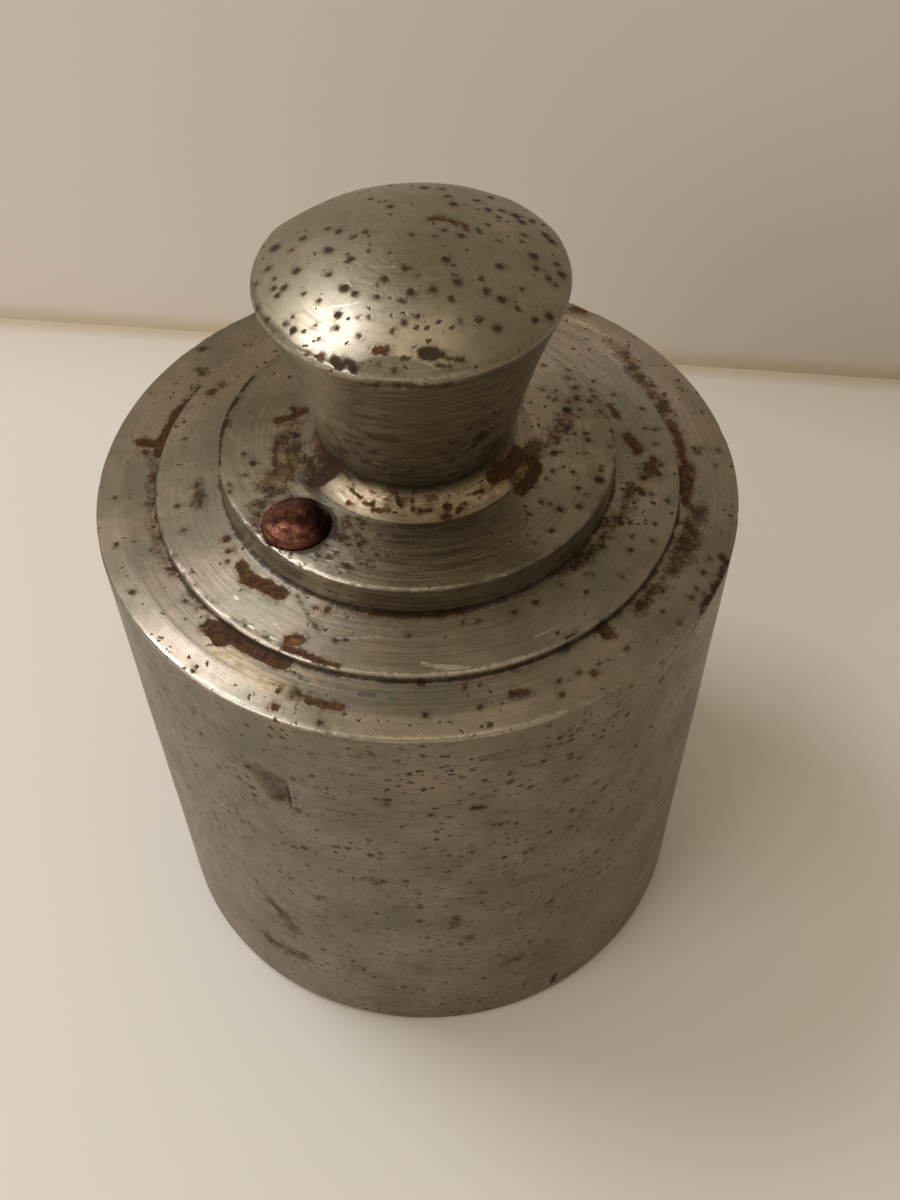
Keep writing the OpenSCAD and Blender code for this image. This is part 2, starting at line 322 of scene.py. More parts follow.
# a tool has slipped off the side, and has left a gouge with a small burr along its slanting left edge: along
# runs round the side from the gouge's middle, and above is the distance from that edge, in millimetres
GOUGE_WAY = -118
GOUGE_TOP, GOUGE_FOOT = 44.3, 39.1
GOUGE_DEPTH = 0.5
BURR_H = 0.06
along = (way - GOUGE_WAY) * math.tau * BODY_R / 360
above = (along + 2.15) * 0.9 + (height - 43.5) * 0.43
ends = np.clip((1.8 - along) / 0.3, 0, 1) * np.clip((GOUGE_TOP - height) / 2.2, 0, 1)
ends *= np.clip((height - GOUGE_FOOT) / 0.4, 0, 1)
side = radius > BODY_R - 0.1
gouge = np.clip(above / 1.1, 0, 1) * ends * side
sunk += gouge * GOUGE_DEPTH
burr = np.exp(-(above / 0.28) ** 2)
burr *= np.clip((height - GOUGE_FOOT + 0.2) / 0.5, 0, 1) * np.clip((GOUGE_TOP + 0.7 - height) / 1.5, 0, 1)
sunk -= BURR_H * burr * side * (np.abs(along) < 3)
sunk += np.clip(pits - 0.12, 0, 0.25) * 0.3 + np.clip(rust, 0, 0.3) * (0.12 + 0.2 * ripple(spots, 2.2, 7))
write_points(body.data, spots - normals * np.where(outer, sunk, 0)[:, None])
note(body.data, "rust", rust)
note(body.data, "pits", pits)
# the film inside the gouge is painted shade on its sunken floor
note(body.data, "film", np.maximum.reduce([
    inside(spots, film_of_step, on_ring), inside(spots, film_of_step, on_step),
    inside(spots, smudges_of_side, on_side), np.where(gouge > 0.02, gouge * 0.4 - 0.7, -1.2)]))
# painted shade darkens the inside of the gouge
note(body.data, "shade_and_grime", np.clip(gouge * 0.9 * np.clip(1.2 - above / 5, 0, 1), 0, 1))
note(body.data, "cream", inside(spots, cream_of_ring, on_ring))
note(body.data, "blue", inside(spots, blue_of_ring, on_ring))
note(body.data, "bright", inside(spots, bright_of_body, on_step))
patchy = 0.16 * np.clip(ripple(spots, 0.7, 61), 0, 1)
# a painted highlight, with some wear, along the rim and the step's edge at the front left
note(body.data, "wear_and_highlight", 0.26 * rubbed_and_lit(way, -108, 53) - patchy - edge_gap)
# dirt fills the seam at the flange's foot, and painted shade darkens the corner at the foot of the step
note(body.data, "crevice_and_shade", 0.16 - np.minimum(
    np.hypot(radius - STEP_R, height - RING_Z), np.hypot(radius - FLANGE_R, height - SEAT_Z)))


def paint(code):
    """A colour as the shader takes it, from its sRGB code."""
    parts = [int(code[n:n + 2], 16) / 255 for n in (1, 3, 5)]
    return [c / 12.92 if c <= 0.04045 else ((c + 0.055) / 1.055) ** 2.4 for c in parts] + [1]


def new_material(name):
    """A material without nodes, and the function that adds one node to it and gives that node's outputs.
    An input is a plain value or the socket that feeds it. A tuple fills them from the first on, and a dict
    says which."""
    made = bpy.data.materials.new(name)
    made.use_nodes = True
    made.node_tree.nodes.clear()

    def add(kind, inputs=(), **settings):
        new = made.node_tree.nodes.new("ShaderNode" + kind)
        for setting, value in settings.items():
            setattr(new, setting, value)
        if isinstance(inputs, tuple):
            inputs = dict(enumerate(inputs))
        for socket, value in inputs.items():
            if isinstance(value, bpy.types.NodeSocket):
                made.node_tree.links.new(value, new.inputs[socket])
            else:
                new.inputs[socket].default_value = value
        return new.outputs

    return made, add


def millimetres(add):
    """A point's place on its object, in millimetres."""
    return add("VectorMath", {0: add("TexCoord")["Object"], 3: 1 / MM}, operation="SCALE")[0]


# a mask runs from one level to the other along a soft curve
SMOOTH = {"interpolation_type": "SMOOTHSTEP"}


def old_steel(name, clean, dull, roughness, drawn, dashes, pits_per_mm, pitted, grooved, shaded_heights):
    """Bare carbon steel, turned on a lathe and long handled: a satin grey that has gone warm and a little
    olive, drawn out round the axis by the tool's fine lines, with brown rust and nearly black pits.
    drawn is how strongly the lines show, dashes how strongly the side's specks do, and pitted how much of
    it has pits. grooved is how far the lines stretch a reflection. Between the two heights of the last
    argument, painted shade darkens the colour."""
    steel, add = new_material(name)
    place = millimetres(add)
    x, y, z = add("SeparateXYZ", (place,))
    flat = add("CombineXYZ", (x, y))[0]
    outwards = add("VectorMath", (flat,), operation="NORMALIZE")[0]
    from_axis = add("VectorMath", (flat,), operation="LENGTH")[1]
    across = add("Math", (from_axis, z), operation="SUBTRACT")[0]

    def wound(along, per_mm):
        """Coordinates for a pattern that runs round: along of its steps in a radian, per_mm in a millimetre
        outwards or down."""
        lift = add("CombineXYZ", {2: add("Math", (across, per_mm), operation="MULTIPLY")[0]})[0]
        return add("VectorMath", (outwards, (along, along, along), lift), operation="MULTIPLY_ADD")[0]

    # the tool's lines lie 0.1 to 0.25 mm apart and run right round, in bands some 2 mm wide
    lines = add("TexNoise", {"Vector": wound(2.2, 4.2), "Scale": 1.0, "Detail": 3.0, "Roughness": 0.75})[0]
    lines = add("MapRange", (lines, 0.34, 0.66), **SMOOTH)[0]
    bands = add("TexNoise", {"Vector": wound(1.2, 0.55), "Scale": 1.0, "Detail": 2.0, "Roughness": 0.5})[0]
    # film drifts over 6 mm and is mottled every millimetre, rust has grains of 0.35 mm, and grit 0.12 mm
    clouds, mottle, grain, fine = [
        add("TexNoise", {"Vector": place, "Scale": per_mm, "Detail": detail, "Roughness": rough})[0]
        for per_mm, detail, rough in ((0.16, 2.0, 0.5), (0.95, 3.0, 0.6), (2.8, 3.0, 0.65), (8.0, 2.0, 0.6))]

    def mark(attribute, soft, ragged, frayed=0.0, moved=0.0, most=1.0):
        """A mask from a mark's own depth, up to most. Its edge is soft, and it wanders with the mottle by up
        to ragged and with the grain by up to frayed, in millimetres, from moved outside the true edge."""
        depth = add("Attribute", attribute_name=attribute)["Fac"]
        depth = add("Math", (mottle, 4 * ragged, depth), operation="MULTIPLY_ADD")[0]
        depth = add("Math", (grain, 4 * frayed, depth), operation="MULTIPLY_ADD")[0]
        edge = 2 * ragged + 2 * frayed - moved
        return add("MapRange", (depth, edge - soft, edge + soft, 0.0, most), **SMOOTH)[0]

    film = add("Math", (clouds, 0.65), operation="MULTIPLY")[0]
    film = add("Math", (mottle, 0.35, film), operation="MULTIPLY_ADD")[0]
    film = add("MapRange", (film, 0.32, 0.68), **SMOOTH)[0]
    colour = add("Mix", {0: film, 6: paint(clean), 7: paint(dull)}, data_type="RGBA")[2]
    ridges = add("Math", (lines, drawn, 1 - drawn * 0.5), operation="MULTIPLY_ADD")[0]
    gritty = add("Math", (grain, 0.3, 0.85), operation="MULTIPLY_ADD")[0]
    # painted shade darkens the colour between the two heights: the body's side and the knob's taper
    upright_shade = add("MapRange", (z, shaded_heights[0] - 0.5, shaded_heights[0] + 0.5, 1.0, 0.8), **SMOOTH)[0]
    upright_shade = add("MapRange", (z, shaded_heights[1] - 0.2, shaded_heights[1] + 0.2, upright_shade, 1.0), **SMOOTH)[0]
    for tone in (ridges, gritty, upright_shade):
        colour = add("VectorMath", {0: colour, 3: tone}, operation="SCALE")[0]

    # dark specks on the side, 0.2 to 0.5 mm wide, and thin dashes up to 3 mm long, where dirt fills the
    # lines. They come in swarms, and stop below the rim
    uneven = add("TexNoise", {"Vector": place, "Scale": 2.2})[1]
    shaken = add("VectorMath", (uneven, (0.6, 0.6, 0.6), wound(29.0, 1.35)), operation="MULTIPLY_ADD")[0]
    cell = add("TexVoronoi", {"Vector": shaken, "Scale": 1.0})
    own = add("SeparateColor", (cell["Color"],))[0]
    own = add("MapRange", (own, 0.35, 1.0, 0.0, 0.4), **SMOOTH)[0]
    speck = add("Math", (own, cell["Distance"]), operation="SUBTRACT")[0]
    speck = add("Math", (grain, 0.6, speck), operation="MULTIPLY_ADD")[0]
    speck = add("MapRange", (speck, 0.23, 0.4), **SMOOTH)[0]
    dash = add("TexNoise", {"Vector": wound(9.0, 6.0), "Scale": 1.0, "Detail": 2.0, "Roughness": 0.5})[0]
    dash = add("MapRange", (dash, 0.56, 0.68, 0.0, 0.6), **SMOOTH)[0]
    scored = add("Math", (speck, dash), operation="MAXIMUM")[0]
    swarm = add("Math", (bands, mottle), operation="ADD")[0]
    swarm = add("MapRange", (swarm, 0.8, 1.12, 0.1, 1.0), **SMOOTH)[0]
    below_rim = add("MapRange", (z, RIM_Z - 0.1, RIM_Z - 0.5, 0.0, dashes), **SMOOTH)[0]
    for share in (swarm, below_rim):
        scored = add("Math", (scored, share), operation="MULTIPLY")[0]

    # scattered pits, drawn out round the axis, with more of them where the damp has stood
    dark = mark("pits", 0.15, 0.08, 0.13, 0.02)
    squashed = add("VectorMath", (place, (0.8, 0.8, 1.4)), operation="MULTIPLY")[0]
    shaken = add("VectorMath", (uneven, (0.7, 0.7, 0.7), squashed), operation="MULTIPLY_ADD")[0]
    damp = add("MapRange", (clouds, 0.62 - pitted, 0.36), **SMOOTH)[0]
    for per_mm, size in ((pits_per_mm, 0.2), (pits_per_mm * 2.3, 0.29)):
        cell = add("TexVoronoi", {"Vector": shaken, "Scale": per_mm})
        wide = add("Math", (damp, size * 0.6, size * 0.5), operation="MULTIPLY_ADD")[0]
        own = add("SeparateColor", (cell["Color"],))[0]
        own = add("MapRange", (own, 0.3, 1.0, 0.0, wide), **SMOOTH)[0]
        hole = add("Math", (own, cell["Distance"]), operation="SUBTRACT")[0]
        hole = add("MapRange", (hole, -0.06, 0.07, 0.0, 0.9), **SMOOTH)[0]
        dark = add("Math", (dark, hole), operation="MAXIMUM")[0]

    # brown film stains the steel round the rust and the pits, and has dark dots of its own
    rust = mark("rust", 0.12, 0.17, 0.13, 0.04)
    beside_rust = mark("rust", 0.4, 0.3, 0.2, 0.22, most=0.65)
    stain = add("Math", (mark("film", 0.55, 0.5, 0.3), beside_rust), operation="MAXIMUM")[0]
    dots = add("MapRange", (grain, 0.58, 0.66, 0.0, 0.6), **SMOOTH)[0]
    dots = add("Math", (stain, dots), operation="MULTIPLY")[0]
    # the crevice mask adds seam dirt and painted shade
    for more in (dots, mark("crevice_and_shade", 0.12, 0.22, 0.1, most=0.85)):
        dark = add("Math", (dark, more), operation="MAXIMUM")[0]
    blotchy = add("Math", (grain, 1.2, 0.5), operation="MULTIPLY_ADD")[0]
    stain = add("Math", (stain, blotchy), operation="MULTIPLY")[0]
    stain = add("Math", (stain, mark("pits", 0.3, 0.2, 0.2, 0.2, most=0.5)), operation="MAXIMUM")[0]
    # where the brown skin has been scraped off the ring, bright streaks of bare metal run round between its
    # remains;
    # on the collar the same cream mask is a painted reflection of the pale floor, with some deposit
    streaks = add("MapRange", (lines, 0.1, 0.6, 0.35, 0.9), **SMOOTH)[0]
    scraped_and_reflection = mark("cream", 0.35, 0.4, 0.2, most=streaks)
    blue = mark("blue", 0.1, 0.12, 0.25)
    # edges toward the light carry a painted highlight with some wear, and bright marks add scratches and
    # painted glints
    bright = mark("wear_and_highlight", 0.15, 0.1, 0.15, most=0.7)
    bright = add("Math", (mark("bright", 0.05, 0.0, 0.03), bright), operation="MAXIMUM")[0]

    film_brown, scraped_and_reflection_tone, rust_brown = [
        add("Mix", {0: add("MapRange", (field, low, high), **SMOOTH)[0], 6: paint(first), 7: paint(second)},
            data_type="RGBA")[2]
        for field, low, high, first, second in (
            (mottle, 0.35, 0.62, "#6c5230", "#3a2810"), (mottle, 0.3, 0.75, "#ccb693", "#8f7652"),
            (grain, 0.35, 0.68, "#351e0d", "#5e3d1b"))]
    orange = add("MapRange", (mottle, 0.57, 0.76), **SMOOTH)[0]
    rust_brown = add("Mix", {0: orange, 6: rust_brown, 7: paint("#7f5727")}, data_type="RGBA")[2]
    pit_brown = add("Mix", {0: fine, 6: paint("#211609"), 7: paint("#46341d")}, data_type="RGBA")[2]
    for mask, share, tone in (
            (scored, 0.84, paint("#31230f")), (stain, 0.83, film_brown), (scraped_and_reflection, 0.9, scraped_and_reflection_tone),
            (blue, 0.8, paint("#2e4a4c")), (bright, 0.75, paint("#cdc4b2")), (rust, 1.0, rust_brown),
            (dark, 1.0, pit_brown)):
        share = add("Math", (mask, share), operation="MULTIPLY", use_clamp=True)[0]
        colour = add("Mix", {0: share, 6: colour, 7: tone}, data_type="RGBA")[2]
    # painted shade, with some grime, darkens the colour by a share of its own: inside the gouge,
    # at the taper's foot, beside the pin and in the knob's corners
    shade_and_grime = add("Attribute", attribute_name="shade_and_grime")["Fac"]
    lit = add("Math", (shade_and_grime, -0.5, 1.0), operation="MULTIPLY_ADD")[0]
    colour = add("VectorMath", {0: colour, 3: lit}, operation="SCALE")[0]

    # rust and dirt are rough, but thin enough here for the metal to shine through them
    cover = rust
    for mask, share in ((dark, 1.0), (blue, 1.0), (scraped_and_reflection, 0.15), (stain, 0.5), (scored, 0.3)):
        share = add("Math", (mask, share), operation="MULTIPLY", use_clamp=True)[0]
        cover = add("Math", (cover, share), operation="MAXIMUM")[0]
    metallic = add("Math", (cover, -0.38, 1.0), operation="MULTIPLY_ADD")[0]
    rough = roughness - 0.12
    for part, gain in ((film, 0.06), (grain, 0.14), (lines, 0.1), (bright, -0.08)):
        rough = add("Math", (part, gain, rough), operation="MULTIPLY_ADD")[0]
    covered = add("Math", (cover, 0.62), operation="MULTIPLY")[0]
    rough = add("Math", (rough, covered), operation="MAXIMUM")[0]

    # heights in millimetres: lines and pits are a few thousandths to a hundredth deep, rust is a crust
    height = 0.0
    crust = add("Math", (rust, fine), operation="MULTIPLY")[0]
    for part, tall in (
            (lines, 0.018 * drawn), (bands, 0.02), (fine, 0.003), (dark, -0.012), (scored, -0.008),
            (crust, 0.04)):
        height = add("Math", (part, tall, height), operation="MULTIPLY_ADD")[0]
    bump = add("Bump", {"Height": height, "Distance": MM})[0]
    round_z = add("Tangent", direction_type="RADIAL", axis="Z")[0]
    surface = add("BsdfPrincipled", {
        "Base Color": colour, "Metallic": metallic, "Roughness": rough, "Normal": bump,
        "Anisotropic": grooved, "Anisotropic Rotation": 0.25, "Tangent": round_z})
    add("OutputMaterial", (surface[0],))
    return steel


body.data.materials.clear()
body.data.materials.append(
    old_steel("turned carbon steel", clean="#9c8c7a", dull="#807966", roughness=0.35, drawn=0.18, dashes=1.0,
              pits_per_mm=0.72, pitted=0.04, grooved=0.7, shaded_heights=(-5, 51.7)))
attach(body, "root")
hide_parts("body")

# The knob is turned in one piece from the same bar: a low domed crown over a taper for two fingers, a
# collar, a flange, and a threaded spigot that closes the cavity. The crown's edge has been knocked out
# of round by drops, and its top is pitted all over.
CROWN_Z = 75.9
FLANGE_Z = 56.2
CROWN_ARC_R = 23.611
CROWN_ARC_Z = CROWN_Z - CROWN_ARC_R
EDGE_R = 0.8
EDGE_MIDDLE = (10.95, 72.3)
EDGE_TOP = (11.334, 73.0018)
TAPER_ARC_R = 75
TAPER_MIDDLE = (81.9004, 45.6226)
TAPER_TOP = (11.6988, 72.0184)
TAPER_FOOT = (8.0318, 58.601)
COLLAR_R = 9.65
COLLAR_TOP = (8.5792, 57.0985)
COLLAR_MIDDLE = (9.6077, 58.3241)
SPIGOT_R = 7
SPIGOT_END_Z = 41.35


def arc(middle, start, end, row):
    """Corners along an arc of the knob's outline, row millimetres apart, without its last point."""
    middle, start, end = Vector(middle), Vector(start), Vector(end)
    first, last = start - middle, end - middle
    turn = math.atan2(first.cross(last), first.dot(last))
    steps = max(2, round(abs(turn) * first.length / row))
    return [(*(middle + Matrix.Rotation(turn * k / steps, 2) @ first), 0, 9) for k in range(steps)]


knob = turned("weight_knob", [
    (0, SPIGOT_END_Z, 0, 2), (SPIGOT_R - 1, SPIGOT_END_Z, 0, 1), (SPIGOT_R, SPIGOT_END_Z + 1, 0, 3),
    (SPIGOT_R, SEAT_Z - 1.8, 0, 1), (SPIGOT_R - 1, SEAT_Z - 0.8, 0, 1), (SPIGOT_R - 1, SEAT_Z, 0, 2),
    (FLANGE_R, SEAT_Z, 0.28, 0.4), (FLANGE_R, FLANGE_Z, 0.28, 0.2), (COLLAR_R, FLANGE_Z, 0, 0.16),
    *arc(COLLAR_MIDDLE, COLLAR_TOP, TAPER_FOOT, 0.16), *arc(TAPER_MIDDLE, TAPER_FOOT, TAPER_TOP, 0.29),
    *arc(EDGE_MIDDLE, TAPER_TOP, EDGE_TOP, 0.15), *arc((0, CROWN_ARC_Z), EDGE_TOP, (0, CROWN_Z), 0.16),
    (0, CROWN_Z, 0, 9),
], 448)
pin_hole(knob, [
    (0, SEAT_Z - 3, 0, 9), (PIN_R, SEAT_Z - 3, 0, 9), (PIN_R, FLANGE_Z - PIN_SINK, 0, 9),
    (PIN_HEAD_R + 1, FLANGE_Z + 1, 0, 9), (0, FLANGE_Z + 1, 0, 9)])


# where a mark lies: on the crown, round the taper, or on the collar and the flange
def on_crown(r, degrees):
    return round_axis(r, degrees, CROWN_ARC_Z + np.sqrt(CROWN_ARC_R ** 2 - r ** 2))


def on_taper(z, degrees):
    return round_axis(TAPER_MIDDLE[0] - np.sqrt(TAPER_ARC_R ** 2 - (z - TAPER_MIDDLE[1]) ** 2), degrees, z)


def on_flange(r, degrees):
    return round_axis(r, degrees, np.interp(r, [7.7, 8.58, COLLAR_R], [59, 57.1, FLANGE_Z]))


# round pits, as millimetres from the axis, degrees from the right, and half the width
crown_pits = [
    (6.4, 116, 0.26), (5.4, 108, 0.2), (4.2, 108, 0.21), (7.9, 81, 0.32), (8.1, 71, 0.25), (6.7, 64, 0.25),
    (5.6, 54, 0.36), (9.6, 50, 0.33), (7.8, 49, 0.26), (7.4, 37, 0.25), (8.4, 35, 0.32), (9.2, 30, 0.37),
    (9.1, 24, 0.32), (10.2, 26, 0.31), (10.4, 16, 0.33), (10.6, 12, 0.34), (8.5, 12, 0.22), (8.2, 6, 0.18),
    (8.9, -4, 0.33), (10.6, -3, 0.23), (9.1, -12, 0.24), (11.0, -8, 0.3), (10.1, -14, 0.25),
    (10.7, -16, 0.11), (8.8, -29, 0.18), (6.8, -23, 0.26), (7.3, -45, 0.28), (8.4, -42, 0.28),
    (9.5, -40, 0.22), (11.3, -32, 0.29), (10.8, -38, 0.3), (9.9, -54, 0.27), (8.8, -59, 0.24),
    (8.4, -67, 0.11), (5.7, -55, 0.26), (6.7, -66, 0.27), (5.6, -74, 0.25), (3.6, -45, 0.27),
    (0.2, -18, 0.19), (3.5, -95, 0.26), (4.2, -83, 0.15), (5.6, -90, 0.33), (4.7, -112, 0.27),
    (6.2, -112, 0.22), (5.3, -116, 0.11), (3.2, 165, 0.25), (5.3, 164, 0.29), (6.3, 159, 0.26),
    (4.6, -155, 0.24), (5.8, -175, 0.33), (6.5, -135, 0.36), (6.5, -126, 0.24), (8.2, -141, 0.18),
    (8.4, -127, 0.26), (9.3, -124, 0.18), (8.1, -117, 0.13), (7.9, -112, 0.11), (9.3, -113, 0.18),
    (8.6, -99, 0.23), (8.0, -94, 0.19), (7.5, -87, 0.25), (10.9, -103, 0.14), (11.2, -97, 0.12),
    (11.6, -129, 0.17), (10.4, -128, 0.14), (9.8, -133, 0.11), (10.8, -140, 0.25), (10.8, -145, 0.21),
    (10.2, -145, 0.13), (11.5, -153, 0.17), (9.5, -162, 0.28), (10.1, -165, 0.25), (10.1, -160, 0.23),
    (9.9, -170, 0.15), (8.3, -168, 0.33), (10.3, -179, 0.18), (11.3, -173, 0.17), (11.7, -161, 0.18),
    (10.1, 168, 0.4), (8.0, 166, 0.26), (6.5, -152, 0.16), (8.6, -151, 0.11), (1.8, -5, 0.13),
    (2.5, 15, 0.18), (3.7, 2, 0.25),
]
flange_pits = [
    (10.9, 159, 0.3), (10.0, 176, 0.31), (13.5, -170, 0.31), (14.3, 165, 0.1), (14.4, -165, 0.15),
    (15.8, -163, 0.15), (16.0, -160, 0.13), (14.7, -166, 0.14), (14.2, -175, 0.21), (13.6, -159, 0.12),
    (10.1, -118, 0.21), (12.1, 26, 0.2), (12.1, 21, 0.14), (12.4, 19, 0.14), (13.4, 16, 0.2),
    (14.8, 27, 0.17), (14.7, 22, 0.26), (15.5, 30, 0.15), (14.3, 17, 0.24), (13.1, 23, 0.14),
    (15.8, 19, 0.2), (15.8, 16, 0.14), (15.1, 14, 0.18), (12.9, 12, 0.4), (14.1, 11, 0.11),
    (15.6, 9, 0.11), (16.1, 6, 0.14), (16.1, 0, 0.21), (15.9, -7, 0.19), (13.0, -1, 0.14),
    (14.0, -1, 0.24), (14.1, -4, 0.2), (14.0, -10, 0.19), (12.0, -11, 0.14), (11.4, -12, 0.3),
    (15.4, -17, 0.23), (15.5, -21, 0.32), (14.2, -27, 0.21), (13.3, -20, 0.16), (15.0, -28, 0.11),
    (11.7, -22, 0.22), (11.5, -27, 0.16), (14.0, -38, 0.23), (15.1, -34, 0.2), (13.0, -38, 0.13),
    (12.3, -39, 0.17), (14.9, -47, 0.16), (14.9, -54, 0.13), (12.5, -47, 0.16), (14.0, 37, 0.23),
]
# other marks, as half the width, then millimetres from the axis (up, on the taper) and degrees
crown_smudges = [
    (0.5, 10.2, -85.6, 10.25, -82.6), (0.25, 10.3, -86.5, 10.4, -79.5), (0.12, 10.7, -77.5, 11, -72.4),
    (0.1, 11, -82.6, 11.2, -77), (0.32, 11.3, -118.5, 11.5, -115.5),
    (0.3, 11.3, -115, 11.2, -112.3, 11.6, -110.8),
]
crown_brown = [
    (0.22, 2.63, 53.9, 3.72, 26.9), (0.15, 4.2, 22.8, 4.1, 10.5), (0.28, 10.1, -105.1, 10, -100.8),
    (0.2, 11.6, -117, 11.7, -114.5), (0.15, 8.6, 174), (0.2, 11.4, -124),
]
crown_scratches = [
    (0.07, 4.55, -148.3, 3.44, -108.2), (0.06, 8.19, -133.3, 6.87, -118.9),
    (0.05, 8.96, -139.9, 8.46, -128.7), (0.05, 5, -120, 6.4, -113), (0.04, 8, -95, 9.2, -91),
]
taper_marks = [
    (0.48, 63.5, -59.2, 63.2, -56.8), (0.3, 62.9, -60.9, 62.4, -60.9), (0.1, 64.7, -112, 64.7, -107),
    (0.1, 62.6, -115.5, 62.6, -111), (0.09, 63.3, -95, 63.3, -91), (0.16, 71.85, -108, 71.9, -94, 71.85, -79),
    (0.16, 58.8, -148, 58.65, -136, 58.5, -124, 58.6, -107, 58.5, -92, 58.45, -80, 58.6, -62, 58.9, -50),
]
# short dashes all round the front of the taper, fewer of them higher up
scatter = np.random.default_rng(7)
taper_marks += [
    (half, z, way, z, way + long) for half, z, way, long in zip(
        scatter.uniform(0.06, 0.17, 70), 59.3 + scatter.gamma(2, 1.3, 70), scatter.uniform(-150, -25, 70),
        scatter.uniform(0.2, 3, 70))]
# brown specks between the pin and the front
flange_specks = [
    (half, r, way, r, way + long) for half, r, way, long in zip(
        scatter.uniform(0.09, 0.15, 26), scatter.uniform(10.1, 15.2, 26), scatter.normal(-113, 5, 26),
        scatter.uniform(0.3, 2, 26))]
flange_rust = [
    (0.38, 11.8, 167.6, 10.8, 164.2, 9.9, 157.3), (0.2, 11.4, 179.5, 11.7, 186.1, 11.8, 193.4),
    (0.55, 8.4, -157.6, 8.2, -150), (0.72, 9.5, -150.5, 8.8, -147, 8.3, -144.4),
    (0.62, 9.6, -19, 10.3, -22.6, 10.3, -31.1, 10.4, -38), (0.75, 8.4, -44, 8.6, -34.5, 8.7, -20.8),
    (0.2, 8.9, -118.2, 8.8, -114.5), (0.2, 12.9, -147),
]
flange_film = [
    (0.95, 12.9, -158.5, 11.4, -161.4, 10.3, -166, 10.3, -176), (0.5, 13, -152.4, 11.9, -153.3),
    (0.7, 11.1, -3.1, 11.9, 1.9, 12.6, 8.2), (0.9, 8.6, -55, 9.4, -30, 9.8, -8), (0.8, 9.2, 200, 9, 212),
    (1, 8.3, -170, 8.3, -150), (0.6, 10.6, 168, 10.8, 190), (0.35, 8.1, -105, 8.6, -99.5),
    (0.5, 16.1, -141, 14.6, -150.5, 12, -146.5, 11, -139), (0.3, 8.8, -77, 8.9, -74),
    (0.5, 10.6, -122, 10.6, -112), (0.45, 12.4, -120, 12.3, -111),
]
# painted glints: one on the collar at the left, and thin bright streaks on the flange's front
flange_bright = [
    (0.14, 9.0, -137, 9.15, -132, 9.3, -128.5), (0.1, 14.9, -119, 14.8, -116), (0.1, 14.2, -121, 14.1, -118.5),
    (0.09, 15.3, -114.5, 15.3, -112), (0.09, 14.5, -114, 14.4, -111), (0.08, 13.7, -119, 13.6, -117),
    (0.08, 13.9, -104, 13.8, -99), (0.08, 13.6, -96, 13.5, -90),
]
# the collar's cream is a painted reflection of the pale floor, with some deposit
collar_cream = [
    (0.8, 8.9, -142, 8.8, -136), (1.05, 8.75, -136, 8.7, -125, 8.65, -105, 8.65, -80, 8.7, -55, 9, -45),
]
# the flange's edge is crushed at the back left, which leaves a ragged dark line
flange_crush = [
    (0.2, 16.2, 150, 16.15, 157), (0.24, 16.1, 160, 16.2, 168), (0.26, 16.1, 170, 16.2, 176),
    (0.2, 16.2, 178, 16.3, 188),
]
# dirt sits on the collar, where it runs into the flange
collar_dirt = [
    (0.2, 8.1, -104.3, 8.35, -102, 8.6, -99.8), (0.16, 8.05, -92.4, 8.45, -92.9), (0.12, 8.4, -93, 8.8, -93.5),
    (0.25, 8.8, -76.5, 8.85, -75), (0.2, 9.4, -78, 9.5, -76), (0.17, 9.02, -57.9), (0.14, 8.97, -67.5, 9, -66),
    (0.2, 9.29, -70.8, 9.2, -69.5), (0.16, 8.1, -155, 8.6, -148, 9.2, -145),
    (0.14, 8.2, -46, 8.7, -34, 9.4, -24), (0.2, 10.3, -28), (0.2, 10.4, -38), (0.14, 8.2, -131.5),
    (0.17, 8.0, -124, 8.05, -121.5), (0.2, 8.85, -117.5, 8.9, -114), (0.13, 9.28, -126.6),
    (0.12, 8.2, -78, 8.25, -76), (0.17, 9.15, -113.5, 9.1, -110), (0.11, 8.1, -138, 8.3, -128),
    (0.1, 8.5, -131, 8.7, -122), (0.1, 8.35, -116, 8.45, -108), (0.1, 9.0, -108, 9.05, -101),
    (0.1, 8.9, -90, 8.95, -84), (0.1, 8.3, -88, 8.35, -81), (0.11, 8.55, -64, 8.7, -55),
]

spots, normals = read_points(knob.data)
radius = np.hypot(spots[:, 0], spots[:, 1])
height = spots[:, 2]
shown = height > SEAT_Z + 0.02
crown_dots, flange_dots = [[(half, r, way) for r, way, half in dots] for dots in (crown_pits, flange_pits)]
pits = np.maximum.reduce([
    inside(spots, crown_dots + crown_smudges, on_crown), inside(spots, taper_marks, on_taper),
    inside(spots, flange_dots + flange_crush + flange_specks[1::2], on_flange)])
rust = np.maximum(
    inside(spots, flange_rust + collar_dirt + flange_specks[::2], on_flange),
    inside(spots, crown_brown, on_crown))
sunk = np.where(shown, 0.03 * (1 + ripple(spots, 0.2, 31)), 0)
KNOCKED_R, KNOCKED_Z = 11.6, 72.6
edge_gap = np.minimum(
    np.abs(height - KNOCKED_Z) + np.abs(radius - KNOCKED_R) * 0.5,
    np.hypot(radius - FLANGE_R, height - FLANGE_Z))
# the punch that dressed the pin has also beaten the flange's edge beside it
BEATEN_PLACE = (-11.4, -12.2)
near_pin = np.exp(-(np.linalg.norm(spots[:, :2] - BEATEN_PLACE, axis=1) / 3.2) ** 2)
beaten = near_pin * np.abs(ripple(spots, 1.3, 41)) * 0.8
sunk += np.clip(1 - edge_gap / 0.7, 0, 1) * (nicks(spots, 17, 23) + beaten)
sunk += np.clip(pits, 0, 0.3) * 0.1 + np.clip(rust, 0, 0.3) * (0.1 + 0.2 * ripple(spots, 2.2, 7))
spots = spots - normals * np.where(shown, sunk, 0)[:, None]
